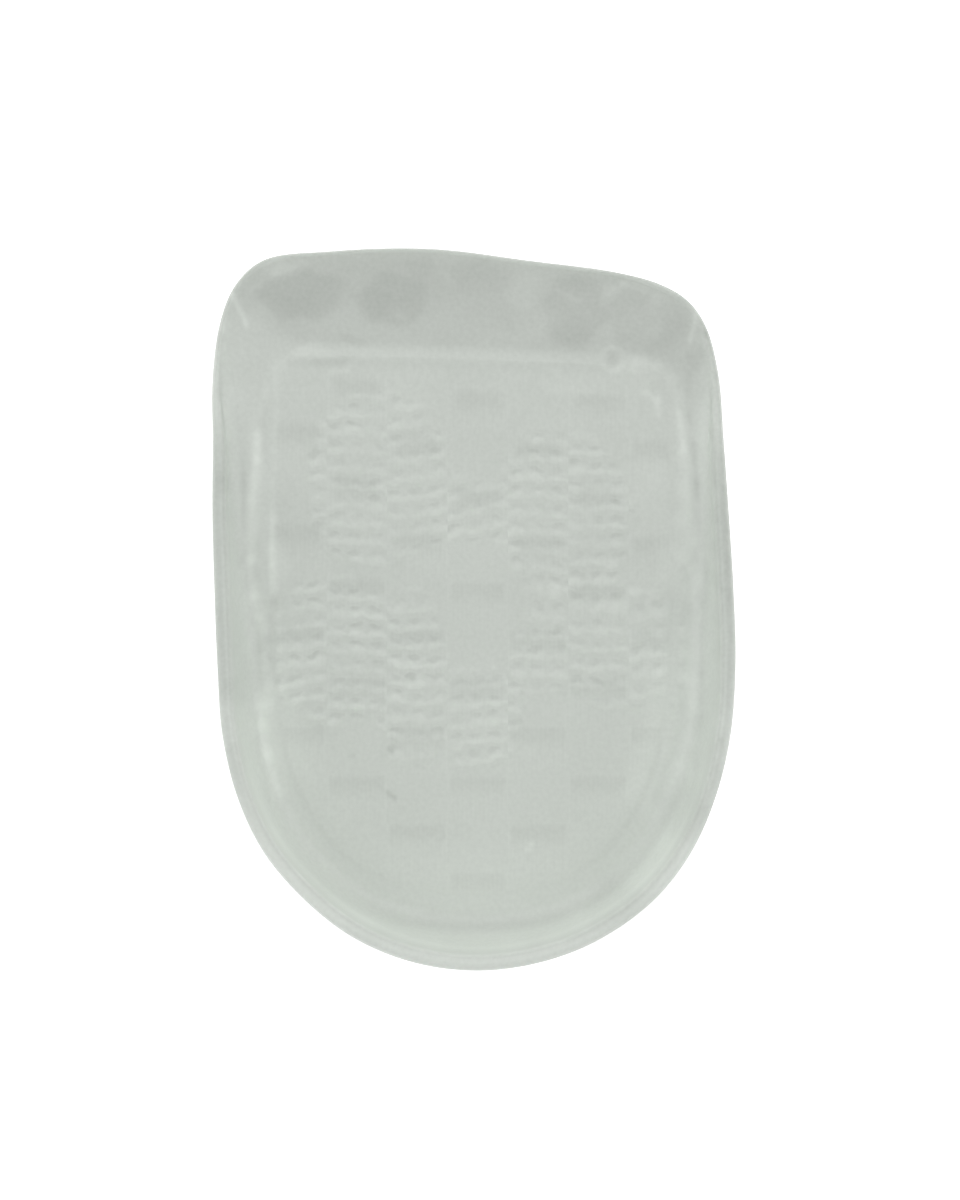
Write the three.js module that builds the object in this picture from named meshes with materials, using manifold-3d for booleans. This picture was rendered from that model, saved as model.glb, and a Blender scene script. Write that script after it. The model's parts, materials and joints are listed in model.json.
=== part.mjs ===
// Heel cup: one soft gel moulding that sits under the heel inside a shoe.
// A dished bed is surrounded at the sides and the back by a wall with a rounded rim. In front the
// wall runs out into a thin lip that slopes down to the shoe's insole. The underside is flat, with a
// shallow D-shaped recess that holds a basket-weave tread of low pads.
// Units are millimetres. +Z is up, +Y points to the toes, and the origin is on the floor under the
// middle of the cup's outline.

import * as THREE from 'three';
import { mergeVertices } from 'three/addons/utils/BufferGeometryUtils.js';
import Module from 'manifold-3d';

// Overall sizes
const CUP_LENGTH = 102; // front edge of the lip to the back of the heel
const CUP_WIDTH = 74; // across the widest part of the rim
const RIM_HEIGHT = 22; // floor to the top of the rim behind the heel
const RIM_THICKNESS = 2.2; // wall at its rounded top edge
const LIP_EDGE = 1.8; // thickness of the lip at its front edge

// Bed, the dished surface that the heel rests on
const LIP_LENGTH = 16.2; // front edge to the bed
const SIDE_BAND = 7.3; // rim to the bed at the sides
const HEEL_BAND = 8.5; // rim to the bed behind the heel
const BED_THICKNESS = 5; // at the middle of the bed
const DISH_DEPTH = 1.4; // rise of the bed towards the wall
const BED_RIDGE = 0.3; // rise of the bed towards the lip
const BED_SLANT = 0.035; // slope of the bed's front edge, back towards the right

// Underside
const WALL_SOLE_INSET = 6.5; // rim to the edge of the flat sole, under the wall
const LIP_SOLE_INSET = 2; // the same under the lip
const TREAD_INSET = 1.2; // edge of the bed above to the edge of the tread recess
const TREAD_DEPTH = 0.6; // depth of the tread recess
const PAD_ACROSS = 8.6; // pitch of the tread's pads across the cup
const PAD_ALONG = 6.9; // pitch of the tread's pads along the cup
const PAD_GROOVE = 0.9; // gap between neighbouring pads
const PAD_CHAMFER = 0.35; // how far a pad's sides draw in towards the floor
const PAD_BITE = 0.25; // how far a pad's root reaches into the cup
const PAD_SHIFT_ACROSS = 0.8; // middle of the pad nearest the cup's middle, to the right of it
const PAD_SHIFT_ALONG = -0.9; // and forward of it
const PAD_KEPT = 0.45; // least share of a pad that is kept where the recess's edge cuts it

// Shapes of the curves
const FRONT_SQUARENESS = 7; // front corners of the bed: 2 is an ellipse, and more is squarer
const HEEL_SQUARENESS = 2.6; // heel end of the bed
const WALL_SQUARENESS = 2.6; // section of the wall, inside and outside
const LIP_SQUARENESS = 1.1; // section of the lip: 1 is a straight slope
const WALL_FORMED = 5; // height of the rim above the bed where the lip has fully become a wall

// Steps of the mesh
const STEPS_PER_ROW = 4;
const OUTER_STEPS = 8;
const RIM_STEPS = 6;
const INNER_STEPS = 10;
const BED_STEPS = 5;
const WELD_DISTANCE = 1e-4; // points closer than this are one point
const CUT_BELOW = 1; // how far the prisms for the tread reach below the floor

// The rim seen from above, clockwise from the middle of the lip. Across and along are shares of half
// the width and half the length, and rise is the share of the wall's height that the rim reaches.
const RIM_ROWS = [
  { across: -0.163, along: 1.0, rise: 0.0 },
  { across: 0.228, along: 0.966, rise: 0.0 },
  { across: 0.565, along: 0.933, rise: 0.0 },
  { across: 0.735, along: 0.898, rise: 0.02 },
  { across: 0.839, along: 0.85, rise: 0.06 },
  { across: 0.907, along: 0.773, rise: 0.12 },
  { across: 0.95, along: 0.639, rise: 0.22 },
  { across: 0.966, along: 0.456, rise: 0.36 },
  { across: 0.981, along: 0.261, rise: 0.5 },
  { across: 0.996, along: 0.039, rise: 0.64 },
  { across: 1.0, along: -0.167, rise: 0.77 },
  { across: 0.978, along: -0.358, rise: 0.87 },
  { across: 0.92, along: -0.527, rise: 0.94 },
  { across: 0.828, along: -0.676, rise: 0.98 },
  { across: 0.689, along: -0.806, rise: 1.0 },
  { across: 0.482, along: -0.915, rise: 1.0 },
  { across: 0.256, along: -0.978, rise: 1.0 },
  { across: 0.012, along: -1.0, rise: 1.0 },
  { across: -0.233, along: -0.975, rise: 1.0 },
  { across: -0.458, along: -0.905, rise: 1.0 },
  { across: -0.646, along: -0.796, rise: 0.99 },
  { across: -0.79, along: -0.671, rise: 0.97 },
  { across: -0.885, along: -0.527, rise: 0.93 },
  { across: -0.943, along: -0.358, rise: 0.87 },
  { across: -0.965, along: -0.167, rise: 0.77 },
  { across: -0.98, along: 0.039, rise: 0.64 },
  { across: -0.992, along: 0.261, rise: 0.5 },
  { across: -0.994, along: 0.456, rise: 0.36 },
  { across: -1.0, along: 0.611, rise: 0.24 },
  { across: -0.976, along: 0.781, rise: 0.13 },
  { across: -0.92, along: 0.892, rise: 0.06 },
  { across: -0.813, along: 0.966, rise: 0.02 },
  { across: -0.55, along: 0.993, rise: 0.0 },
];

const GEL_COLOUR = 0xc1c6c0;
const GEL_ROUGHNESS = 0.35;

const halfLength = CUP_LENGTH / 2;
const halfWidth = CUP_WIDTH / 2;
const bedCurve = {
  side: halfWidth - SIDE_BAND,
  front: halfLength - LIP_LENGTH,
  heel: halfLength - HEEL_BAND,
};
const treadCurve = {
  side: bedCurve.side - TREAD_INSET,
  front: bedCurve.front - TREAD_INSET,
  heel: bedCurve.heel - TREAD_INSET,
};

const wasm = await Module();
wasm.setup();

// Turns a closed three.js geometry into a manifold-3d solid.
function solidOf(geometry) {
  const bare = geometry.clone();
  bare.deleteAttribute('normal');
  bare.deleteAttribute('uv');
  const merged = mergeVertices(bare, WELD_DISTANCE);
  return new wasm.Manifold(
    new wasm.Mesh({
      numProp: 3,
      vertProperties: merged.attributes.position.array,
      triVerts: new Uint32Array(merged.index.array),
    }),
  );
}

// Turns a manifold-3d solid back into a three.js geometry.
function geometryOf(solid) {
  const mesh = solid.getMesh();
  const geometry = new THREE.BufferGeometry();
  geometry.setAttribute('position', new THREE.BufferAttribute(mesh.vertProperties, mesh.numProp));
  geometry.setIndex(new THREE.BufferAttribute(mesh.triVerts, 1));
  geometry.computeVertexNormals();
  return geometry;
}

// The rim's stations: a smooth closed curve through the rows, stretched to fill the cup's width and
// length. Each station is a point on the rim's outer edge, with the rise of the rim in z.
function rimStations() {
  const rows = RIM_ROWS.map((row) => new THREE.Vector3(row.across, row.along, row.rise));
  const curve = new THREE.CatmullRomCurve3(rows, true, 'centripetal');
  const count = RIM_ROWS.length * STEPS_PER_ROW;
  const stations = Array.from({ length: count }, (_, i) => curve.getPoint(i / count));
  const box = new THREE.Box3().setFromPoints(stations);
  const middle = box.getCenter(new THREE.Vector3());
  const span = box.getSize(new THREE.Vector3());
  for (const station of stations) {
    station.x = ((station.x - middle.x) / span.x) * CUP_WIDTH;
    station.y = ((station.y - middle.y) / span.y) * CUP_LENGTH;
    station.z = THREE.MathUtils.clamp(station.z, 0, 1);
  }
  return stations;
}

// Distance from the origin to a D-shaped curve along a unit direction. The curve is a superellipse
// with square corners and a slanting edge in front, and a rounder end at the heel.
function reachOfCurve(curve, direction) {
  const toFront = direction.y > 0;
  const squareness = toFront ? FRONT_SQUARENESS : HEEL_SQUARENESS;
  const across = Math.abs(direction.x) / curve.side;
  const forward = toFront ? direction.y + BED_SLANT * direction.x : direction.y;
  const along = Math.abs(forward) / (toFront ? curve.front : curve.heel);
  return (across ** squareness + along ** squareness) ** (-1 / squareness);
}

// The section of the cup in the vertical half plane through one station, from the edge of the flat
// sole, up the outside, over the rim and down the inside to the middle of the bed. Each point is
// a reach from the origin and a height.
function sectionAt(station) {
  const edge = Math.hypot(station.x, station.y);
  const direction = new THREE.Vector2(station.x, station.y).normalize();
  const top = THREE.MathUtils.lerp(LIP_EDGE, RIM_HEIGHT, station.z);
  const wall = THREE.MathUtils.smoothstep(top - BED_THICKNESS, 0, WALL_FORMED);
  const squareness = THREE.MathUtils.lerp(LIP_SQUARENESS, WALL_SQUARENESS, wall);
  const rimRadius = Math.min(RIM_THICKNESS, top) / 2;
  const soleInset = THREE.MathUtils.lerp(LIP_SOLE_INSET, WALL_SOLE_INSET, wall);
  const bedReach = reachOfCurve(bedCurve, direction);
  const bedRise = THREE.MathUtils.lerp(BED_RIDGE, DISH_DEPTH, wall);
  const section = [];

  const springing = top - rimRadius;
  for (let i = 0; i < OUTER_STEPS; i++) {
    const angle = (i / OUTER_STEPS) * (Math.PI / 2);
    const out = Math.sin(angle) ** (2 / WALL_SQUARENESS);
    const up = 1 - Math.cos(angle) ** (2 / WALL_SQUARENESS);
    section.push({ reach: edge - soleInset * (1 - out), height: springing * up });
  }

  const sweep = (Math.PI / 2) * (1 + wall);
  const rimCentre = edge - rimRadius;
  for (let i = 0; i < RIM_STEPS; i++) {
    const angle = (i / RIM_STEPS) * sweep;
    section.push({
      reach: rimCentre + rimRadius * Math.cos(angle),
      height: springing + rimRadius * Math.sin(angle),
    });
  }

  const wallReach = rimCentre + rimRadius * Math.cos(sweep);
  const wallTop = springing + rimRadius * Math.sin(sweep);
  const bedEdge = BED_THICKNESS + bedRise;
  for (let i = 0; i < INNER_STEPS; i++) {
    const angle = (i / INNER_STEPS) * (Math.PI / 2);
    const inwards = 1 - Math.cos(angle) ** (2 / squareness);
    const down = Math.sin(angle) ** (2 / squareness);
    section.push({
      reach: THREE.MathUtils.lerp(wallReach, bedReach, inwards),
      height: THREE.MathUtils.lerp(wallTop, bedEdge, down),
    });
  }

  for (let i = 0; i < BED_STEPS; i++) {
    const share = 1 - i / BED_STEPS;
    section.push({ reach: bedReach * share, height: BED_THICKNESS + bedRise * share ** 2 });
  }
  return section.map((point) => ({
    x: direction.x * point.reach,
    y: direction.y * point.reach,
    z: point.height,
  }));
}

// The cup without its tread: the sections joined into one closed surface, with a point in the middle
// of the sole and one in the middle of the bed.
function cupGeometry(stations) {
  const sections = stations.map(sectionAt);
  const ringCount = sections[0].length;
  const count = sections.length;
  const positions = sections.flatMap((section) => section.flatMap((p) => [p.x, p.y, p.z]));
  const soleMiddle = count * ringCount;
  const bedMiddle = soleMiddle + 1;
  positions.push(0, 0, 0, 0, 0, BED_THICKNESS);
  const index = [];
  for (let i = 0; i < count; i++) {
    const here = i * ringCount;
    const next = ((i + 1) % count) * ringCount;
    index.push(soleMiddle, here, next);
    for (let ring = 0; ring < ringCount - 1; ring++) {
      index.push(here + ring, here + ring + 1, next + ring + 1);
      index.push(here + ring, next + ring + 1, next + ring);
    }
    index.push(here + ringCount - 1, bedMiddle, next + ringCount - 1);
  }
  const geometry = new THREE.BufferGeometry();
  geometry.setAttribute('position', new THREE.Float32BufferAttribute(positions, 3));
  geometry.setIndex(index);
  return geometry;
}

// A prism on the tread's D-shaped outline, drawn in by a margin, from below the floor up to a height.
function treadPrism(stations, margin, top) {
  const outline = new THREE.Shape(
    stations.map((station) => {
      const direction = new THREE.Vector2(station.x, station.y).normalize();
      return direction.multiplyScalar(reachOfCurve(treadCurve, direction) - margin);
    }),
  );
  const options = { depth: top + CUT_BELOW, bevelEnabled: false };
  return solidOf(new THREE.ExtrudeGeometry(outline, options).translate(0, 0, -CUT_BELOW));
}

// One pad of the tread: a low block, flush with the sole, whose sides draw in towards the floor.
function padSolid(x, y) {
  const width = PAD_ACROSS - PAD_GROOVE;
  const length = PAD_ALONG - PAD_GROOVE;
  const height = TREAD_DEPTH + PAD_BITE;
  const box = new THREE.BoxGeometry(width, length, height);
  const position = box.attributes.position;
  for (let i = 0; i < position.count; i++) {
    if (position.getZ(i) < 0) {
      position.setX(i, position.getX(i) * (1 - (2 * PAD_CHAMFER) / width));
      position.setY(i, position.getY(i) * (1 - (2 * PAD_CHAMFER) / length));
    }
  }
  return solidOf(box.translate(x, y, height / 2));
}

// The tread's pads on the dark squares of a chequerboard, as where one strip of a basket weave
// passes over the other. They are trimmed to the room inside the recess.
function treadPads(room) {
  const columns = Math.ceil(halfWidth / PAD_ACROSS);
  const rows = Math.ceil(halfLength / PAD_ALONG);
  const pads = [];
  for (let column = -columns; column <= columns; column++) {
    for (let row = -rows; row <= rows; row++) {
      if ((column + row) % 2 === 0) {
        const x = PAD_SHIFT_ACROSS + column * PAD_ACROSS;
        const y = PAD_SHIFT_ALONG + row * PAD_ALONG;
        const whole = padSolid(x, y);
        const pad = whole.intersect(room);
        if (pad.volume() > PAD_KEPT * whole.volume()) {
          pads.push(pad);
        }
      }
    }
  }
  return wasm.Manifold.union(pads);
}

// The whole moulding: the cup with its tread recess cut out and the pads joined in.
function cupWithTread() {
  const stations = rimStations();
  const recess = treadPrism(stations, 0, TREAD_DEPTH);
  const padRoom = treadPrism(stations, PAD_GROOVE, TREAD_DEPTH + 2 * PAD_BITE);
  const cup = solidOf(cupGeometry(stations)).subtract(recess);
  return geometryOf(cup.add(treadPads(padRoom)));
}

const gel = new THREE.MeshStandardMaterial({
  color: GEL_COLOUR,
  roughness: GEL_ROUGHNESS,
  metalness: 0,
});
const cup = new THREE.Mesh(cupWithTread(), gel);
cup.name = 'cup';

const heelCup = new THREE.Group();
heelCup.add(cup);

export default heelCup;
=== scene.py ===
"""Looks of a soft gel heel cup, seen from straight above with its thin lip away from the viewer.

The cup is one moulding of milky gel. Its surface is worked out here from the same sections as the
solid's, on a finer mesh, with soft relief and small nubs on the upper side. The tread's pads are a
second mesh. How the tread and the rim look through the gel, a few specks and blotches, and the
painted shade and painted highlights on the lip, the wall, the rim, the nubs and the bubble are
tone: a piece's colour is a blend of a dark and a pale gel, and a tone is counted in levels, steps
of 1/255.
Tables and pairs are in millimetres where no other measure is given, and every other length is in
metres. A pair is the stretch over which something comes in or goes out. +Z is up and +Y points to
the toes.
"""

import json
import math

import bpy
import numpy as np
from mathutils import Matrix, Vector

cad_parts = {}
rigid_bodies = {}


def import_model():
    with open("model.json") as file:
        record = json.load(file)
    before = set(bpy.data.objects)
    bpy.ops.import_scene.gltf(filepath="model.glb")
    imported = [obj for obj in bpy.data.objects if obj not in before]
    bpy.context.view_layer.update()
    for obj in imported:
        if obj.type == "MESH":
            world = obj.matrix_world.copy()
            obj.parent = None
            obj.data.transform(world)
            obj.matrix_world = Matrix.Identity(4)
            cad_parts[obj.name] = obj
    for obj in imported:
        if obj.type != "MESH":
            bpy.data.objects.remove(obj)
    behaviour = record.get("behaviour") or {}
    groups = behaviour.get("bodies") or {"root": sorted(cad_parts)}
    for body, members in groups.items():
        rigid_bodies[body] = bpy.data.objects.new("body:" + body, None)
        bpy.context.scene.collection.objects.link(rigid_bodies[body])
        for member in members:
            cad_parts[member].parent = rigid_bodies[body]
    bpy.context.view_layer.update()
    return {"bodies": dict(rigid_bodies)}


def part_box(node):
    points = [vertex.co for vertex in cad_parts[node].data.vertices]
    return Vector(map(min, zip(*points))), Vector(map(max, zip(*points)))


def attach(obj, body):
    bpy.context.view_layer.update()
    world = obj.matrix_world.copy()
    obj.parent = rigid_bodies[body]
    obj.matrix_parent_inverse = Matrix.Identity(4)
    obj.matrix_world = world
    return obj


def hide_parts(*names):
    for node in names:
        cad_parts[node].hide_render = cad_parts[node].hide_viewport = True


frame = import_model()

MM = 0.001

# Overall sizes, from the frame
low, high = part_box("cup")
CUP_WIDTH = high.x - low.x
CUP_LENGTH = high.y - low.y
RIM_HEIGHT = high.z - low.z
BODY = next(iter(frame["bodies"]))

# Section of the cup, as in the solid
RIM_THICKNESS = 2.2 * MM
LIP_EDGE = 1.8 * MM
LIP_LENGTH = 16.2 * MM
SIDE_BAND = 7.3 * MM
HEEL_BAND = 8.5 * MM
BED_THICKNESS = 5.0 * MM
DISH_DEPTH = 1.4 * MM
BED_RIDGE = 0.3 * MM
BED_SLANT = 0.035
BORDER_GAP = 0.1 * MM
WALL_SOLE_INSET = 6.5 * MM
LIP_SOLE_INSET = 2.0 * MM
WALL_FORMED = 5.0 * MM
FRONT_SQUARENESS = 7.0
HEEL_SQUARENESS = 2.6
WALL_SQUARENESS = 2.6
LIP_SQUARENESS = 1.1

# Tread on the underside
TREAD_INSET = 1.2 * MM
TREAD_DEPTH = 0.6 * MM
PAD_ACROSS = 8.6 * MM
PAD_ALONG = 6.9 * MM
PAD_GROOVE = 0.9 * MM
PAD_BITE = 0.25 * MM
PAD_SHIFT_ACROSS = 0.8 * MM
PAD_SHIFT_ALONG = -0.9 * MM
PAD_SQUARENESS = 9
PAD_STEPS = 32
PAD_COLUMNS_ASIDE = 5
PAD_ROWS_ASIDE = 8

# Profile of a pad, from its flat end up into the gel. Each row holds the share of half the pad's
# size, and the height in metres.
PAD_TOP = TREAD_DEPTH + PAD_BITE
PAD_PROFILE = (
    (0.5, 0.0),
    (0.86, 0.0),
    (0.92, 0.02 * MM),
    (0.96, 0.1 * MM),
    (0.985, 0.25 * MM),
    (1.0, PAD_TOP - 0.05 * MM),
    (0.9, PAD_TOP),
)

# The rim seen from above, clockwise from the middle of the lip. Each row holds x as a share of half
# the width, y as a share of half the length, and the share of the wall's height that the rim reaches.
RIM_ROWS = (
    (-0.163, 1.0, 0.0),
    (0.228, 0.966, 0.0),
    (0.565, 0.933, 0.0),
    (0.735, 0.898, 0.02),
    (0.839, 0.85, 0.06),
    (0.907, 0.773, 0.12),
    (0.95, 0.639, 0.22),
    (0.966, 0.456, 0.36),
    (0.981, 0.261, 0.5),
    (0.996, 0.039, 0.64),
    (1.0, -0.167, 0.77),
    (0.978, -0.358, 0.87),
    (0.92, -0.527, 0.94),
    (0.828, -0.676, 0.98),
    (0.689, -0.806, 1.0),
    (0.482, -0.915, 1.0),
    (0.256, -0.978, 1.0),
    (0.012, -1.0, 1.0),
    (-0.233, -0.975, 1.0),
    (-0.458, -0.905, 1.0),
    (-0.646, -0.796, 0.99),
    (-0.79, -0.671, 0.97),
    (-0.885, -0.527, 0.93),
    (-0.943, -0.358, 0.87),
    (-0.965, -0.167, 0.77),
    (-0.98, 0.039, 0.64),
    (-0.992, 0.261, 0.5),
    (-0.994, 0.456, 0.36),
    (-1.0, 0.611, 0.24),
    (-0.976, 0.781, 0.13),
    (-0.92, 0.892, 0.06),
    (-0.813, 0.966, 0.02),
    (-0.55, 0.993, 0.0),
)

# Field of nubs on the bed, as overlapping ellipses. Each row holds x, y, half_x and half_y.
NUB_PATCHES = (
    (-13.4, 17.75, 10.3, 12.8),
    (-3.5, 13.65, 8.8, 5.2),
    (12.8, 12.25, 10.0, 13.0),
    (-19.9, -6.55, 9.4, 10.7),
    (-8.1, -10.75, 5.4, 13.1),
    (0.9, -15.75, 6.0, 7.8),
    (21.8, -6.25, 9.7, 8.8),
    (9.7, -6.25, 5.1, 6.6),
)
NUB_CLEAR = (1.1, -0.25, 6.2, 9.0)
NUB_BOLD = (-18.6, -10.6, 12.0, 12.0)
NUBS_PER_STRIP = 3
NUB_ROW = 2.6 * MM
NUB_HEIGHT = 0.12 * MM
NUB_WAVE = 0.5 * MM
NUB_WAVE_LENGTH = 26.0 * MM
NUB_SLANT = 0.03
NUB_STEEP_FROM = -12.0 * MM
NUB_STEEP_WIDTH = 14.0 * MM
NUB_STEEP_SLANT = 0.14
NUB_STEEP_FRONT = (-4.0, 4.0)
NUB_EDGE = 0.06
NUB_CLEAR_EDGE = 0.08
NUB_BOLD_EDGE = 0.5
NUB_WEAK = 0.9
NUB_STRONG = 1.35
NUB_END = (-0.8, -0.1)
NUB_DIP = 0.35

# Lines of tone on the upper side: painted highlights and painted shade along creases and folds of
# the lip, the ridge in front of the bed, the wall's foot and the rim's front corners, and in the last
# three rows small specks. Each row holds the half width, the level, and the line's corners as x and y.
LIGHT_SHADE_AND_SPECK_LINES = (
    (0.45, 11.0, (-34.2, 44.1), (-32.1, 39.8)),
    (0.45, 9.0, (32.1, 41.6), (31.1, 37.6)),
    (0.6, 4.0, (-31.4, 44.8), (-28.1, 47.3), (-24.5, 48.8)),
    (0.45, 4.0, (-5.0, 48.8), (-2.9, 45.8)),
    (0.5, 5.0, (12.2, 44.8), (15.1, 43.3)),
    (0.45, 5.0, (19.1, 44.3), (21.6, 45.8), (24.5, 44.8)),
    (0.6, 5.0, (-11.0, 41.8), (-9.7, 40.8)),
    (0.4, 3.0, (-16.4, 47.0), (-16.1, 43.3)),
    (0.4, -3.0, (4.7, 40.8), (5.7, 39.1)),
    (0.7, 4.0, (-28.1, 33.9), (-24.5, 35.6)),
    (0.6, -1.8, (-22.0, 36.2), (22.0, 34.7)),
    (0.4, 4.0, (-19.8, 33.2), (-17.7, 33.4), (-17.8, 34.9)),
    (0.6, 3.0, (10.8, 30.8), (20.5, 29.9)),
    (0.8, -8.0, (-25.9, 34.5), (-18.1, 34.6)),
    (0.9, -3.0, (-18.1, 34.6), (19.7, 33.9)),
    (0.45, 3.0, (-28.1, 33.5), (-27.7, 27.7), (-28.1, 21.8), (-28.2, 12.1)),
    (0.6, 8.0, (-28.2, 12.1), (-28.4, 5.6), (-28.1, 1.9)),
    (0.5, 4.0, (-29.1, 31.1), (-30.1, 27.0)),
    (0.7, 10.0, (-30.6, 24.2), (-30.6, 20.4)),
    (0.7, 6.0, (-30.6, 20.4), (-31.5, 14.8), (-31.5, 6.3), (-30.9, 1.2), (-30.2, -2.0), (-29.6, -3.7)),
    (0.5, -4.0, (-32.4, 18.4), (-32.5, 6.3), (-31.4, -2.3)),
    (0.5, -4.0, (-29.6, 28.7), (-29.6, 20.4)),
    (0.5, -6.0, (-36.0, 38.4), (-36.0, 29.1)),
    (0.8, 4.0, (23.4, 34.9), (26.5, 33.9), (28.5, 32.2), (29.3, 29.1)),
    (0.5, 9.0, (29.3, 27.4), (30.1, 22.1)),
    (1.0, 4.0, (30.1, 22.1), (30.5, 16.3), (31.1, 6.3)),
    (0.45, 8.0, (24.6, 30.1), (26.4, 29.1), (26.6, 27.0)),
    (0.6, -5.0, (30.8, 32.8), (30.9, 27.0), (31.3, 22.5), (31.9, 17.0), (32.6, 8.0)),
    (0.5, -4.0, (33.0, 6.3), (33.3, 4.3), (32.8, 0.0), (32.6, -10.0), (32.6, -16.2), (31.6, -23.1)),
    (0.4, -5.0, (29.6, 4.9), (32.1, 6.6)),
    (1.2, 8.0, (-28.9, -11.7), (-29.5, -14.4), (-29.8, -17.2), (-29.1, -21.4), (-27.7, -26.5)),
    (0.5, -4.0, (-30.6, -15.8), (-30.2, -21.4), (-28.7, -27.9)),
    (1.2, 4.0, (31.3, -11.0), (31.6, -14.4), (31.1, -19.6), (29.9, -23.1), (28.2, -26.9)),
    (0.7, 5.0, (-30.9, 18.4), (-31.2, 6.3)),
    (0.6, -9.0, (31.9, 42.5), (33.6, 38.6), (34.8, 32.7)),
    (0.6, -8.0, (34.8, 32.7), (35.5, 26.2)),
    (0.4, 4.0, (-27.7, -1.3), (-27.5, -7.5)),
    (0.5, 6.0, (-29.5, -7.2), (-29.5, -9.2)),
    (0.35, -16.0, (-11.8, -20.6), (-11.3, -20.9)),
    (0.32, -14.0, (-12.1, -26.9), (-11.0, -27.6)),
    (0.32, 12.0, (7.8, -34.9), (8.5, -34.2)),
)

# Small round spots of tone: painted shade and painted highlights on small notches along the wall's
# foot, and two small marks elsewhere. Each row holds x, y, the half width and the level.
NOTCH_SHADE_AND_MARK_SPOTS = (
    (-28.2, 0.3, 0.6, -7.0),
    (-28.9, -2.1, 0.6, -7.0),
    (-28.9, -4.9, 0.6, -7.0),
    (-28.8, -7.6, 0.6, -7.0),
    (-27.7, -10.8, 0.6, -7.0),
    (-26.9, -12.05, 0.7, 6.0),
    (30.1, -3.8, 0.7, 6.0),
    (30.2, -6.9, 0.7, 6.0),
    (30.1, -10.35, 0.8, 7.0),
    (29.8, -2.8, 0.4, -7.0),
    (29.9, -8.6, 0.5, -7.0),
    (29.8, -11.8, 0.5, -6.0),
    (28.5, -14.5, 0.4, -8.0),
    (34.9, -19.0, 0.4, -8.0),
    (-17.0, -21.6, 0.4, -7.0),
)

# A trapped bubble: x, y and the radius
BUBBLE = (20.0, 34.9, 2.1)

# Painted shade and painted highlights on the rim, by the distance in from its edge. Both the sides
# and the heel have a dark band of painted shade. Inside it the sides have a pale line and, past it, a
# pale stretch, both painted highlight. The heel is darker at the very edge and at a line, and has a
# thin pale line past the band.
RIM_SIDE_BAND_SHADE = 23.0
RIM_SIDE_BAND_END = (1.7, 2.3)
RIM_SIDE_LINE_GLOW = 8.0
RIM_SIDE_LINE_INSET = 1.5 * MM
RIM_SIDE_LINE_WIDTH = 0.3 * MM
RIM_SIDE_PAST_GLOW = 4.2
RIM_SIDE_PAST_START = (2.0, 2.6)
RIM_SIDE_PAST_END = (3.8, 4.8)
RIM_SIDE_WALL_SHADE = 1.5
RIM_HEEL_BAND_SHADE = 14.0
RIM_HEEL_BAND_END = (1.8, 2.4)
RIM_HEEL_EDGE_SHADE = 8.0
RIM_HEEL_EDGE_WIDTH = 0.2 * MM
RIM_HEEL_LINE_SHADE = 13.0
RIM_HEEL_LINE_INSET = 1.75 * MM
RIM_HEEL_LINE_WIDTH = 0.4 * MM
RIM_HEEL_PAST_GLOW = 5.0
RIM_HEEL_PAST_INSET = 2.6 * MM
RIM_HEEL_PAST_WIDTH = 0.2 * MM
RIM_HEEL_WALL_SHADE = 4.0
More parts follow.
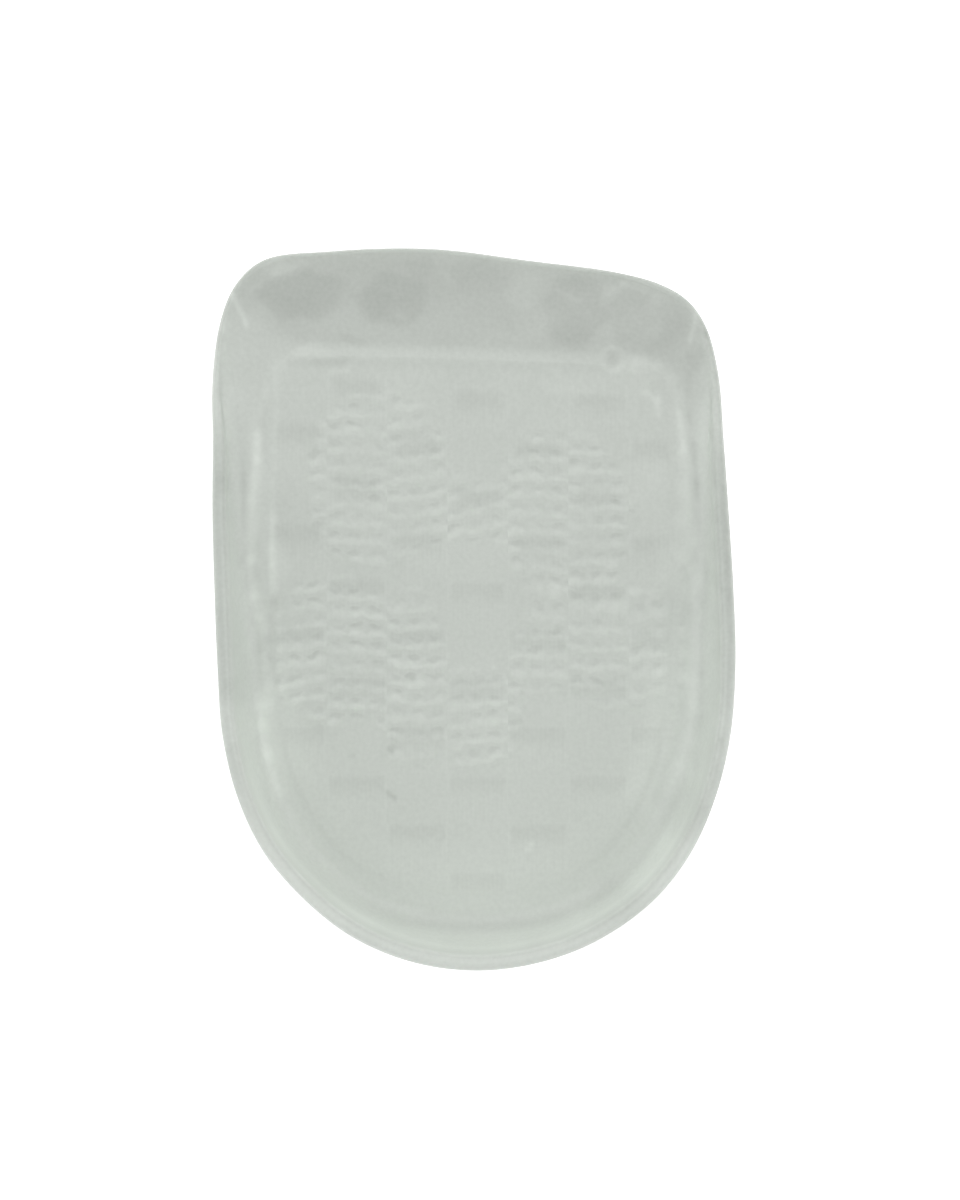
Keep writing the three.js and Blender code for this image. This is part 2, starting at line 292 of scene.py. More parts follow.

# Soft ellipses of tone: painted shade where a stretch is to look darker and painted highlights where it
# is to look paler, on the lip, the bed's corners, the wall's foot and the rim, and darker blotches on
# the lip. Each row holds x, y, half_x, half_y, the softness of the edge and the level.
SHADE_HIGHLIGHT_AND_BLOTCH_PATCHES = (
    (-24.5, 44.2, 6.0, 3.6, 0.18, -6.0),
    (-24.9, 42.9, 2.8, 1.9, 0.3, -2.0),
    (-11.3, 43.5, 5.0, 3.7, 0.16, -6.0),
    (-13.7, 42.6, 2.1, 2.3, 0.3, -2.0),
    (14.7, 41.9, 4.3, 5.3, 0.18, -5.0),
    (14.4, 38.6, 3.0, 1.9, 0.3, -3.0),
    (22.5, 41.3, 3.3, 4.0, 0.2, -4.0),
    (-7.4, 48.5, 2.6, 1.3, 0.3, -3.0),
    (1.1, 47.0, 4.0, 2.3, 0.4, -3.0),
    (18.2, 46.9, 5.1, 1.6, 0.4, -3.0),
    (-16.7, 37.5, 2.0, 0.7, 0.4, -4.0),
    (-27.1, 48.0, 2.8, 1.1, 0.4, 4.0),
    (7.7, 45.0, 2.6, 2.8, 0.5, 4.0),
    (-22.4, 35.9, 2.4, 1.0, 0.5, 3.5),
    (32.1, 35.6, 1.4, 1.6, 0.5, -5.0),
    (33.0, 23.5, 1.1, 4.6, 0.6, 3.0),
    (-35.5, 17.3, 1.4, 2.0, 0.5, -4.0),
    (-33.1, -11.9, 1.7, 2.0, 0.5, -5.0),
    (-33.9, -6.5, 2.0, 6.8, 0.4, -3.0),
    (35.3, 9.8, 1.1, 9.6, 0.6, -5.0),
    (26.4, 14.5, 3.4, 5.7, 0.6, 4.0),
    (30.6, 15.6, 1.2, 10.6, 0.6, 3.5),
    (30.2, 10.6, 1.6, 4.6, 0.5, 3.0),
    (31.3, 2.3, 1.1, 2.7, 0.4, 5.0),
    (-30.5, 6.3, 1.7, 15.7, 0.7, 4.0),
    (18.2, 36.2, 8.5, 2.8, 0.6, -4.0),
    (33.0, -20.1, 2.8, 8.5, 0.7, -3.0),
    (1.1, -45.7, 19.9, 1.7, 0.6, -3.0),
    (28.9, 35.1, 4.3, 5.4, 0.6, -6.0),
    (-33.4, 16.3, 2.0, 8.5, 0.6, -4.0),
    (28.9, 41.2, 2.6, 3.1, 0.5, -4.0),
    (35.9, -20.1, 1.4, 6.4, 0.6, 6.0),
    (-31.6, 38.4, 4.3, 3.7, 0.6, 4.0),
    (20.2, -42.2, 3.7, 3.1, 0.6, -6.0),
    (28.5, 6.0, 2.1, 3.7, 0.6, 6.0),
    (-27.4, 6.0, 1.4, 3.1, 0.6, 6.0),
    (-31.6, 6.0, 1.1, 3.4, 0.6, -5.0),
    (-34.5, -16.8, 1.1, 4.8, 0.6, 5.0),
    (31.3, -7.2, 1.7, 5.7, 0.6, 3.0),
    (-30.9, -8.0, 1.4, 5.1, 0.6, -3.0),
    (30.6, -29.2, 3.4, 3.4, 0.6, -7.0),
    (36.5, 6.3, 0.9, 8.5, 0.6, -2.0),
    (23.9, -26.5, 2.0, 2.8, 0.6, 4.0),
    (26.1, -5.1, 7.1, 10.0, 0.7, 3.0),
    (-24.5, -5.1, 5.7, 8.5, 0.7, 1.5),
    (35.6, -5.1, 1.1, 8.5, 0.6, -3.0),
)

# How far the outline of a soft ellipse is bent, in millimetres, and the radians per millimetre of
# the sines that bend it
PATCH_BEND_ACROSS = 0.5
PATCH_TURNS_ACROSS = 1.3
PATCH_BEND_ALONG = 0.4
PATCH_TURNS_ALONG = 1.1

# Soft relief of the upper side
BEAD_HEIGHT = 0.02 * MM
BEAD_WIDTH = 0.9 * MM
GROOVE_DEPTH = 0.04 * MM
GROOVE_WIDTH = 0.6 * MM
GROOVE_FRONT = (14.0, 22.0)
RIPPLE_HEIGHT = 0.05 * MM
RIPPLE_ACROSS = 2.3 * MM
RIPPLE_ALONG = 1.7 * MM
RIPPLE_PHASE = 1.0
RIPPLE_START = (1.0, 5.0)

# Tone of the upper side, painted light and painted shade: each level, with the stretches and widths
# that place it
HOLLOW_GLOW = 7.5
HOLLOW_BACKWARD = (-20.0, 45.0)
BED_GLOW = 6.0
BED_GLOW_BACKWARD = (0.0, 26.0)
BED_GLOW_INSET = 2.0 * MM
BED_GLOW_WIDTH = 6.0 * MM
BED_GLOW_END = (0.5, 3.5)
LIP_SHADE = 13.0
LIP_SHADE_MIDDLE = (35.2, 37.2)
LIP_SHADE_CORNER = (27.0, 42.0)
LIP_CORNER = (24.0, 32.0)
LIP_EDGE_SHADE = 9.0
LIP_EDGE_FORWARD = (36.0, 49.0)
WALL_GLOW = 4.5
WALL_FOOT = (-1.5, 1.5)
HEEL_GLOW = 11.0
HEEL_BACKWARD = (20.0, 38.0)
HEEL_FOOT = (3.2, 4.6)
LIP_RIM_SHADE = 1.0
LIP_RIM_INSET = (0.5, 2.2)
FOOT_GLOW = 7.0
FOOT_BACKWARD = (-5.0, 15.0)
FOOT_END = (19.0, 29.0)
FOOT_INSET = 1.8 * MM
FOOT_WIDTH = 3.0 * MM
EDGE_GLOW = 4.0
EDGE_GLOW_FORWARD = (-2.0, 6.0)
EDGE_GLOW_END = (-22.0, -14.0)
EDGE_GLOW_LEFT = (20.0, 26.0)
EDGE_SHADE = 3.0
EDGE_SHADE_BACKWARD = (14.0, 20.0)
EDGE_SHADE_ASIDE = (12.0, 20.0)
EDGE_LINE = (0.1, 0.8)
NO_TREAD = 99.0

# Tone of the tread seen through the gel. Its dark bars are painted shade and the pale lines between
# the strips painted highlights. A bar's places are counted back from the end of a pair of pads, and
# bars are softer in front. The stripes' turns are radians per millimetre, and over the second half
# of each pair the gel is a little paler.
WEAVE_BEND = 2.6 * MM
WEAVE_BEND_LEFT = (-4.0, 26.0)
WEAVE_BEND_FORWARD = (-16.0, 30.0)
WEAVE_END = (-0.7, -0.1)
BAR_PHASE = 3.5 * MM
BAR_SHADE = 4.8
BAR_SHADE_PER_SOFT = 1.2
BAR_SOFT = 1.5
BAR_SOFT_FORWARD = (-8.0, 24.0)
BAR_START = (3.8, 1.3)
BAR_STOP = 0.8
BAR_SIDE = (0.1, 0.7)
LINE_GLOW = 0.9
STRIPE_TURNS = 10.1
STRIPE_TONE = 0.6
OVER_TONE = 0.5
OVER_SHARE = (0.45, 0.55)

# Tone of the nubs: a painted highlight on a streak and painted shade in a spot. Rows and shifts are
# shares of one nub, and the pair is the noise's own measure.
NUB_NOISE_SCALE = 420.0
NUB_STRENGTH_SCALE = 170.0
NUB_NOISE_DETAIL = 1.0
NUB_SHIFT_ALONG = 0.7
NUB_SHIFT_ACROSS = 1.2
NUB_UNEVEN = (0.3, 0.7)
NUB_UNEVEN_LOW = 0.4
NUB_UNEVEN_SPAN = 0.9
SPOT_SHADE = 6.5
SPOT_ROW = 0.84
SPOT_ACROSS = 6.0
SPOT_ALONG = 30.0
SPOT_END = 1.2
STREAK_GLOW = 5.5
STREAK_ROW = 0.42
STREAK_ACROSS = 1.6
STREAK_ALONG = 18.0
STREAK_END = 1.1

# Painted shade and glints of the bubble, in shares of its radius
BUBBLE_TONE = 9.0
BUBBLE_RING_START = (0.5, 0.72)
BUBBLE_RING_END = (0.8, 1.1)
BUBBLE_MIDDLE = (0.1, 0.65)

# Gel
CLOUD_SCALE = 90.0
CLOUD_DETAIL = 2.0
CLOUD_TONE = 4.0
GRAIN_SCALE = 1600.0
GRAIN_DETAIL = 1.0
GRAIN_TONE = 11.0
# Ends of the blend: the tone between them carries the gel's own cloud and grain as well as the painted
# light and shade
GEL_DARK_LEVELS = (165, 170, 164)
GEL_PALE_LEVELS = (235, 240, 234)
MIDDLE_TONE = 0.5
LEVELS_ACROSS = 70.0
GEL_LOOK = {
    "Roughness": 0.42,
    "Subsurface Weight": 0.6,
    "Subsurface Radius": (1.0, 1.0, 1.0),
    "Subsurface Scale": 3.0 * MM,
    "Coat Weight": 0.08,
    "Coat Roughness": 0.2,
}

# Floor and light. Each row of the lights holds the name, the place, the size and the power.
FLOOR_REACH = 2.0
FLOOR_LOOK = {
    "Base Color": (0.95, 0.95, 0.95, 1.0),
    "Roughness": 0.9,
    "Specular IOR Level": 0.1,
    "Emission Color": (1.0, 1.0, 1.0, 1.0),
    "Emission Strength": 0.45,
}
LIGHTS = (
    ("front_softbox", (0.0, 0.75, 0.7), (0.9, 0.5), 2.5),
    ("left_softbox", (-0.8, 0.0, 0.6), (0.5, 0.9), 2.0),
    ("right_softbox", (0.8, 0.0, 0.6), (0.5, 0.9), 2.0),
)
WORLD_STRENGTH = 0.6

# Camera straight above, framed as the photograph. One pixel of it spans PX at the height PX_LEVEL.
CAMERA_HEIGHT = 0.7
CAMERA_ACROSS = 1.13 * MM
CAMERA_ALONG = 0.59 * MM
SENSOR_HEIGHT = 36.0
PHOTO_HEIGHT_PX = 1200
PX = 0.14 * MM
PX_LEVEL = 17.0 * MM

# Least distance from the middle that a direction is worked out for
LEAST_REACH = 1e-9

# Steps of the fine mesh
STEPS_PER_ROW = 19
SOLE_STEPS = 6
BORDER_STEPS = 3
OUTER_STEPS = 14
RIM_STEPS = 10
INNER_STEPS = 40
BED_STEPS = 74

BED_CURVE = {
    "side": CUP_WIDTH / 2 - SIDE_BAND,
    "front": CUP_LENGTH / 2 - LIP_LENGTH,
    "heel": CUP_LENGTH / 2 - HEEL_BAND,
}
TREAD_CURVE = {name: reach - TREAD_INSET for name, reach in BED_CURVE.items()}


def mix(a, b, share):
    """Straight blend from a to b."""
    return a + (b - a) * share


def smooth(value, start, end):
    """Smooth step from 0 at start to 1 at end."""
    share = np.clip((value - start) / (end - start), 0.0, 1.0)
    return share * share * (3.0 - 2.0 * share)


def ramp(value, stretch):
    """Smooth step over a stretch given in millimetres."""
    return smooth(value, stretch[0] * MM, stretch[1] * MM)


def swell(distance, width):
    """Bell curve, 1 at distance 0, with the given half width."""
    return np.exp(-((distance / width) ** 2))


def smooth_loop(rows, steps):
    """Closed centripetal Catmull-Rom spline through the rows of a table. Each span is a cubic on its
    two rows and the slopes there, and gaps are the square roots of the rows' distances."""
    here = np.asarray(rows, float)
    before = np.roll(here, 1, axis=0)
    after = np.roll(here, -1, axis=0)
    beyond = np.roll(here, -2, axis=0)
    gap = np.sqrt(np.linalg.norm(after - here, axis=1))[:, None]
    gap_before = np.roll(gap, 1, axis=0)
    gap_after = np.roll(gap, -1, axis=0)
    leave = (here - before) / gap_before - (after - before) / (gap_before + gap) + (after - here) / gap
    arrive = (after - here) / gap - (beyond - here) / (gap + gap_after) + (beyond - after) / gap_after
    t = np.arange(steps)[None, :, None] / steps
    spans = (
        here[:, None] * (2 * t**3 - 3 * t**2 + 1)
        + (leave * gap)[:, None] * (t**3 - 2 * t**2 + t)
        + after[:, None] * (3 * t**2 - 2 * t**3)
        + (arrive * gap)[:, None] * (t**3 - t**2)
    )
    return spans.reshape(-1, here.shape[1])


def rim_stations():
    """Points on the rim's outer edge and the rise of the rim there: the smooth loop through the rim's
    rows, stretched to the cup's width and length."""
    loop = smooth_loop(RIM_ROWS, STEPS_PER_ROW)
    plan = loop[:, :2]
    middle = (plan.max(axis=0) + plan.min(axis=0)) / 2
    span = plan.max(axis=0) - plan.min(axis=0)
    plan = (plan - middle) / span * (CUP_WIDTH, CUP_LENGTH)
    return plan[:, 0], plan[:, 1], np.clip(loop[:, 2], 0.0, 1.0)


def curve_reach(curve, x, y):
    """Distance from the middle to a D-shaped curve in the direction of (x, y). The curve is a
    superellipse with square corners and a slanting edge in front, and a rounder end at the heel."""
    size = np.maximum(np.hypot(x, y), LEAST_REACH)
    squareness = np.where(y > 0, FRONT_SQUARENESS, HEEL_SQUARENESS)
    across = np.abs(x / size) / curve["side"]
    forward = np.where(y > 0, y + BED_SLANT * x, y)
    along = np.abs(forward / size) / np.where(y > 0, curve["front"], curve["heel"])
    return (across**squareness + along**squareness) ** (-1.0 / squareness)


STATION_X, STATION_Y, STATION_RISE = rim_stations()
STATION_BEARING = np.arctan2(STATION_X, STATION_Y)
STATION_TOP = mix(LIP_EDGE, RIM_HEIGHT, STATION_RISE)
STATION_WALL = smooth(STATION_TOP - BED_THICKNESS, 0.0, WALL_FORMED)


def wall_share(x, y):
    """How far the rim in the direction of (x, y) is a wall: 0 at the lip and 1 at the heel."""
    order = np.argsort(STATION_BEARING)
    return np.interp(
        np.arctan2(x, y), STATION_BEARING[order], STATION_WALL[order], period=2 * math.pi
    )


def new_piece(name, points, faces, attributes=None):
    """A mesh object at the origin that rides on the cup's body."""
    mesh = bpy.data.meshes.new(name)
    mesh.from_pydata(points.tolist(), [], faces)
    mesh.shade_smooth()
    for label, values in (attributes or {}).items():
        mesh.attributes.new(label, "FLOAT", "POINT").data.foreach_set("value", values.astype(np.float32))
    mesh.update()
    piece = bpy.data.objects.new(name, mesh)
    bpy.context.scene.collection.objects.link(piece)
    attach(piece, BODY)
    return piece


def ring_faces(loops, around):
    """Faces of a tube of loops that starts and ends in a pole. The points are ordered loop by loop,
    and the first pole and the last pole follow them."""
    loop, side = np.meshgrid(np.arange(loops - 1), np.arange(around), indexing="ij")
    here = loop * around + side
    beside = loop * around + (side + 1) % around
    quads = np.stack([here, here + around, beside + around, beside], axis=-1).reshape(-1, 4)
    start_pole = loops * around
    end_pole = start_pole + 1
    side = np.arange(around)
    beside = (side + 1) % around
    last = (loops - 1) * around
    start_fan = np.stack([np.full(around, start_pole), side, beside], axis=-1)
    end_fan = np.stack([last + side, np.full(around, end_pole), last + beside], axis=-1)
    return quads.tolist() + start_fan.tolist() + end_fan.tolist()


def cup_sections():
    """Reach and height of every section of the cup, one column per station. Each section starts in
    the recess of the sole, passes the flat border, rises as a quarter superellipse to the rim's
    rounding, and falls as another one to the edge of the bed and on to the bed's middle."""
    edge = np.hypot(STATION_X, STATION_Y)
    rim_radius = np.minimum(RIM_THICKNESS, STATION_TOP) / 2
    squareness = mix(LIP_SQUARENESS, WALL_SQUARENESS, STATION_WALL)
    sole_inset = mix(LIP_SOLE_INSET, WALL_SOLE_INSET, STATION_WALL)
    bed_reach = curve_reach(BED_CURVE, STATION_X, STATION_Y)
    bed_edge = BED_THICKNESS + mix(BED_RIDGE, DISH_DEPTH, STATION_WALL)
    tread_reach = curve_reach(TREAD_CURVE, STATION_X, STATION_Y)
    sole_edge = edge - sole_inset
    springing = STATION_TOP - rim_radius
    rim_centre = edge - rim_radius
    sweep = math.pi / 2 * (1 + STATION_WALL)
    wall_reach = rim_centre + rim_radius * np.cos(sweep)
    wall_top = springing + rim_radius * np.sin(sweep)

    share = (np.arange(1, SOLE_STEPS + 1) / SOLE_STEPS)[:, None]
    recess = (tread_reach * share, TREAD_DEPTH * (1 + 0 * tread_reach * share))

    share = (np.arange(BORDER_STEPS) / BORDER_STEPS)[:, None]
    border_start = tread_reach + BORDER_GAP
    border = (mix(border_start, sole_edge, share), 0 * border_start * share)

    angle = (np.arange(OUTER_STEPS) / OUTER_STEPS * math.pi / 2)[:, None]
    out = np.sin(angle) ** (2 / WALL_SQUARENESS)
    up = 1 - np.cos(angle) ** (2 / WALL_SQUARENESS)
    outside = (edge - sole_inset * (1 - out), springing * up)

    turn = (np.arange(RIM_STEPS) / RIM_STEPS)[:, None] * sweep
    rim = (rim_centre + rim_radius * np.cos(turn), springing + rim_radius * np.sin(turn))

    angle = (np.arange(INNER_STEPS) / INNER_STEPS * math.pi / 2)[:, None]
    inwards = 1 - np.cos(angle) ** (2 / squareness)
    down = np.sin(angle) ** (2 / squareness)
    inside = (mix(wall_reach, bed_reach, inwards), mix(wall_top, bed_edge, down))

    share = (1 - np.arange(BED_STEPS) / BED_STEPS)[:, None]
    bed = (bed_reach * share, BED_THICKNESS + (bed_edge - BED_THICKNESS) * share**2)

    parts = (recess, border, outside, rim, inside, bed)
    reach = np.concatenate([part[0] for part in parts])
    height = np.concatenate([part[1] for part in parts])
    top_start = sum(len(part[0]) for part in parts[:3])
    return reach, height, top_start


def nub_wave(x, y):
    """How far a row of nubs is bent towards the toes: a sine and a slant across the cup, and in the
    front half a steeper slant left of the middle."""
    bend = NUB_WAVE * np.sin(2 * math.pi * x / NUB_WAVE_LENGTH) + NUB_SLANT * x
    steep = np.clip(x - NUB_STEEP_FROM, 0, NUB_STEEP_WIDTH) * ramp(y, NUB_STEEP_FRONT)
    return bend + NUB_STEEP_SLANT * steep


def nub_phase(x, y):
    """Place within the field of nubs, in nubs across and rows along. The rows shift by half a row
    from one strip of the weave to the next."""
    across = (x - PAD_SHIFT_ACROSS) / PAD_ACROSS + 0.5
    row = (y - nub_wave(x, y)) / NUB_ROW + 0.5 * (np.floor(across) % 2)
    return across * NUBS_PER_STRIP, row


def nub_field(x, y):
    """Strength of the nubs: the patches of the field less its clear middle, stronger in one part,
    and 0 past the tread's edge."""
    field = np.zeros(np.shape(x))
    for patch in NUB_PATCHES:
        field = np.maximum(field, patch_share(x, y, patch, NUB_EDGE))
    field = np.minimum(field, 1 - patch_share(x, y, NUB_CLEAR, NUB_CLEAR_EDGE))
    past_tread = np.hypot(x, y) - curve_reach(TREAD_CURVE, x, y)
    bold = mix(NUB_WEAK, NUB_STRONG, patch_share(x, y, NUB_BOLD, NUB_BOLD_EDGE))
    return bold * field * (1 - ramp(past_tread, NUB_END))


def top_relief(x, y):
    """Soft relief on the upper surface: the bead along the front of the bed and the groove over the
    tread's edge, each a bell curve of the distance to it, and the slow swells in the lip and the
    nubs, each a product of waves across and along."""
    past_bed = np.hypot(x, y) - curve_reach(BED_CURVE, x, y)
    past_tread = np.hypot(x, y) - curve_reach(TREAD_CURVE, x, y)
    flat = 1 - wall_share(x, y)
    bead = BEAD_HEIGHT * swell(past_bed, BEAD_WIDTH) * flat
    groove = -GROOVE_DEPTH * swell(past_tread, GROOVE_WIDTH) * (1 - ramp(y, GROOVE_FRONT))
    ripple = np.sin(x / RIPPLE_ACROSS) * np.sin(y / RIPPLE_ALONG + RIPPLE_PHASE)
    swells = RIPPLE_HEIGHT * ripple * flat * ramp(past_bed, RIPPLE_START)
    nub, row = nub_phase(x, y)
    across = 1 - NUB_DIP - NUB_DIP * np.cos(2 * math.pi * nub)
    bumps = across * (1 - np.cos(2 * math.pi * row)) / 2
    return bead + groove + swells + NUB_HEIGHT * bumps * nub_field(x, y)


def patch_share(x, y, patch, softness):
    """1 inside an ellipse and 0 outside it, with a soft edge. The ellipse is bent a little by two
    sines so that its outline isn't regular."""
    centre_x, centre_y, half_x, half_y = patch[:4]
    bend_x = x / MM + PATCH_BEND_ACROSS * np.sin(y / MM * PATCH_TURNS_ACROSS + centre_x)
    bend_y = y / MM + PATCH_BEND_ALONG * np.sin(x / MM * PATCH_TURNS_ALONG + centre_y)
    distance = np.hypot((bend_x - centre_x) / half_x, (bend_y - centre_y) / half_y)
    return 1 - smooth(distance, 1 - softness, 1 + softness)


def line_tone(x, y, line):
    """Tone of a line through its corners: for each straight stretch, the line's level times the
    bell curve of the distance to it."""
    width, level = line[:2]
    corners = np.array(line[2:]) * MM
    tone = 0
    for start, end in zip(corners[:-1], corners[1:]):
        run = end - start
        share = np.clip(((x - start[0]) * run[0] + (y - start[1]) * run[1]) / (run @ run), 0, 1)
        distance = np.hypot(x - start[0] - share * run[0], y - start[1] - share * run[1])
        tone = tone + level * swell(distance, width * MM)
    return tone


def rim_tone(inset, heel):
    """Level of the rim's painted shade and painted highlights at a distance in from its edge, blended
    from the sides to the heel.
    """
    at_side = RIM_SIDE_LINE_GLOW * swell(inset - RIM_SIDE_LINE_INSET, RIM_SIDE_LINE_WIDTH)
    at_side -= RIM_SIDE_WALL_SHADE + RIM_SIDE_BAND_SHADE * (1 - ramp(inset, RIM_SIDE_BAND_END))
    past_band = ramp(inset, RIM_SIDE_PAST_START) * (1 - ramp(inset, RIM_SIDE_PAST_END))
    at_side += RIM_SIDE_PAST_GLOW * past_band
    at_heel = RIM_HEEL_PAST_GLOW * swell(inset - RIM_HEEL_PAST_INSET, RIM_HEEL_PAST_WIDTH)
    at_heel -= RIM_HEEL_WALL_SHADE + RIM_HEEL_BAND_SHADE * (1 - ramp(inset, RIM_HEEL_BAND_END))
    at_heel -= RIM_HEEL_EDGE_SHADE * swell(inset, RIM_HEEL_EDGE_WIDTH)
    at_heel -= RIM_HEEL_LINE_SHADE * swell(inset - RIM_HEEL_LINE_INSET, RIM_HEEL_LINE_WIDTH)
    return mix(at_side, at_heel, heel)


def top_tone(x, y, inset):
    """Tone of the upper side in levels, painted light and painted shade: the lip darker towards its
    edge, the hollow paler towards the heel, the wall paler, most of all behind the heel, and the rim
    darker at the sides. The lines, spots and patches of painted light and shade, with the specks and
    blotches among them, are added."""
    past_bed = np.hypot(x, y) - curve_reach(BED_CURVE, x, y)
    wall = wall_share(x, y)
    heel = ramp(-y, HEEL_BACKWARD) * wall
    tone = HOLLOW_GLOW * ramp(-y, HOLLOW_BACKWARD)
    inside = swell(past_bed + BED_GLOW_INSET, BED_GLOW_WIDTH) * (1 - ramp(past_bed, BED_GLOW_END))
    tone += BED_GLOW * ramp(-y, BED_GLOW_BACKWARD) * inside
    corner = ramp(np.abs(x), LIP_CORNER)
    shade_start, shade_end = (mix(*ends, corner) for ends in zip(LIP_SHADE_MIDDLE, LIP_SHADE_CORNER))
    tone -= LIP_SHADE * ramp(y + BED_SLANT * x, (shade_start, shade_end))
    tone -= LIP_EDGE_SHADE * ramp(y, LIP_EDGE_FORWARD)
    tone += WALL_GLOW * wall * ramp(past_bed, WALL_FOOT)
    beside = ramp(-y, FOOT_BACKWARD) * (1 - ramp(-y, FOOT_END))
    tone += FOOT_GLOW * wall * beside * swell(past_bed + FOOT_INSET, FOOT_WIDTH)
    tone += HEEL_GLOW * heel * ramp(past_bed, HEEL_FOOT)
    tone += wall * rim_tone(inset, heel)
    tone -= LIP_RIM_SHADE * (1 - wall) * (1 - ramp(inset, LIP_RIM_INSET))
    # Lines of painted highlight and painted shade, and a few specks
    for line in LIGHT_SHADE_AND_SPECK_LINES:
        tone += line_tone(x, y, line)
    # Spots of painted shade and painted highlight on the notches, and small marks
    for spot_x, spot_y, width, level in NOTCH_SHADE_AND_MARK_SPOTS:
        tone += level * swell(np.hypot(x - spot_x * MM, y - spot_y * MM), width * MM)
    # Patches of painted shade and painted highlight, and the lip's blotches
    for patch in SHADE_HIGHLIGHT_AND_BLOTCH_PATCHES:
        softness, level = patch[4:]
        tone += level * patch_share(x, y, patch, softness)
    return tone


def weave_bend(x, y):
    """How far the tread seen through the gel is bent towards the toes: in the front left part."""
    return WEAVE_BEND * ramp(-x, WEAVE_BEND_LEFT) * ramp(y, WEAVE_BEND_FORWARD)


def edge_tone(x, y):
    """Level of the line over the tread's edge: a painted highlight at the left of the front half,
    painted shade at the sides of the rear half, and none elsewhere."""
    pale = EDGE_GLOW * ramp(-x, EDGE_GLOW_LEFT) * ramp(y, EDGE_GLOW_FORWARD) * ramp(-y, EDGE_GLOW_END)
    dark = EDGE_SHADE * ramp(np.abs(x), EDGE_SHADE_ASIDE) * ramp(-y, EDGE_SHADE_BACKWARD)
    return pale - dark


def gel_cup():
    """The cup's whole surface, from the middle of the recess round the rim to the middle of the
    bed, with the relief added to the upper side."""
    reach, height, top_start = cup_sections()
    edge = np.hypot(STATION_X, STATION_Y)
    x = reach * STATION_X / edge
    y = reach * STATION_Y / edge
    height[top_start:] += top_relief(x[top_start:], y[top_start:])
    past_tread = np.full(reach.shape, NO_TREAD)
    past_tread[top_start:] = (reach[top_start:] - curve_reach(TREAD_CURVE, STATION_X, STATION_Y)) / MM
    # The outside and the underside get the lip's level of painted shade, darker all over
    tone = np.full(reach.shape, -LIP_SHADE)
    tone[top_start:] = top_tone(x[top_start:], y[top_start:], (edge - reach)[top_start:])
    nub_mask = np.zeros(reach.shape)
    nub_mask[top_start:] = nub_field(x[top_start:], y[top_start:])
    loops, around = reach.shape
    points = np.stack([x, y, height], axis=-1).reshape(-1, 3)
    poles = np.array([(0, 0, TREAD_DEPTH), (0, 0, BED_THICKNESS)])
    points = np.concatenate([points, poles])
    attributes = {
        "past_tread": np.append(past_tread.ravel(), (NO_TREAD, past_tread[-1, 0])),
        "tone": np.append(tone.ravel(), (0.0, 0.0)),
        "nub_field": np.append(nub_mask.ravel(), (0.0, 0.0)),
        "nub_wave": np.append(nub_wave(x, y).ravel() / MM, (0.0, 0.0)),
        "weave_bend": np.append(weave_bend(x, y).ravel() / MM, (0.0, 0.0)),
        "edge_tone": np.append(edge_tone(x, y).ravel(), (0.0, 0.0)),
    }
    return new_piece("gel_cup", points, ring_faces(loops, around), attributes)


def studs(name, places, half_across, half_along, profile, squareness, around):
    """Many small rounded blocks in one mesh. Each is a profile of (share, height) rows carried round
    a superellipse and closed in a pole at each end."""
    angle = -np.arange(around) / around * 2 * math.pi
    loop_x = np.sign(np.cos(angle)) * np.abs(np.cos(angle)) ** (2 / squareness)
    loop_y = np.sign(np.sin(angle)) * np.abs(np.sin(angle)) ** (2 / squareness)
    profile = np.asarray(profile)
    share = profile[:, 0][None, :, None]
    x = places[:, 0][:, None, None] + share * half_across * loop_x
    y = places[:, 1][:, None, None] + share * half_along * loop_y
    z = profile[:, 1][None, :, None] + 0 * x
    loops = np.stack([x, y, z], axis=-1).reshape(len(places), -1, 3)
    level = np.ones(len(places))
    start = np.column_stack([places, level * profile[0, 1]])[:, None]
    end = np.column_stack([places, level * profile[-1, 1]])[:, None]
    points = np.concatenate([loops, start, end], axis=1)
    per_stud = points.shape[1]
    firsts = range(0, len(places) * per_stud, per_stud)
    one = ring_faces(len(profile), around)
    faces = [[corner + first for corner in face] for first in firsts for face in one]
    return new_piece(name, points.reshape(-1, 3), faces)


def pad_places():
    """Middles of the tread's pads, on the dark squares of a chequerboard inside the recess."""
    columns = np.arange(-PAD_COLUMNS_ASIDE, PAD_COLUMNS_ASIDE + 1)
    rows = np.arange(-PAD_ROWS_ASIDE, PAD_ROWS_ASIDE + 1)
    column, row = np.meshgrid(columns, rows, indexing="ij")
    x = PAD_SHIFT_ACROSS + column * PAD_ACROSS
    y = PAD_SHIFT_ALONG + row * PAD_ALONG
    inside = (column + row) % 2 == 0
    inside &= np.hypot(x, y) < curve_reach(TREAD_CURVE, x, y) - PAD_GROOVE
    return np.stack([x[inside], y[inside]], axis=-1)


def tread_pads():
    """The tread's pads: rounded blocks that hang from the recess's floor down to the sole's level,
    drawn in to the recess's outline where it cuts them."""
    half_across = (PAD_ACROSS - PAD_GROOVE) / 2
    half_along = (PAD_ALONG - PAD_GROOVE) / 2
    piece = studs(
        "tread_pads", pad_places(), half_across, half_along, PAD_PROFILE, PAD_SQUARENESS, PAD_STEPS
    )
    mesh = piece.data
    points = np.zeros(len(mesh.vertices) * 3)
    mesh.vertices.foreach_get("co", points)
    points = points.reshape(-1, 3)
    reach = np.maximum(np.hypot(points[:, 0], points[:, 1]), LEAST_REACH)
    room = curve_reach(TREAD_CURVE, points[:, 0], points[:, 1]) - PAD_GROOVE
    points[:, :2] *= np.minimum(1.0, room / reach)[:, None]
    mesh.vertices.foreach_set("co", points.ravel())
    mesh.update()
    return piece


cup = gel_cup()
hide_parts("cup")
pads = tread_pads()


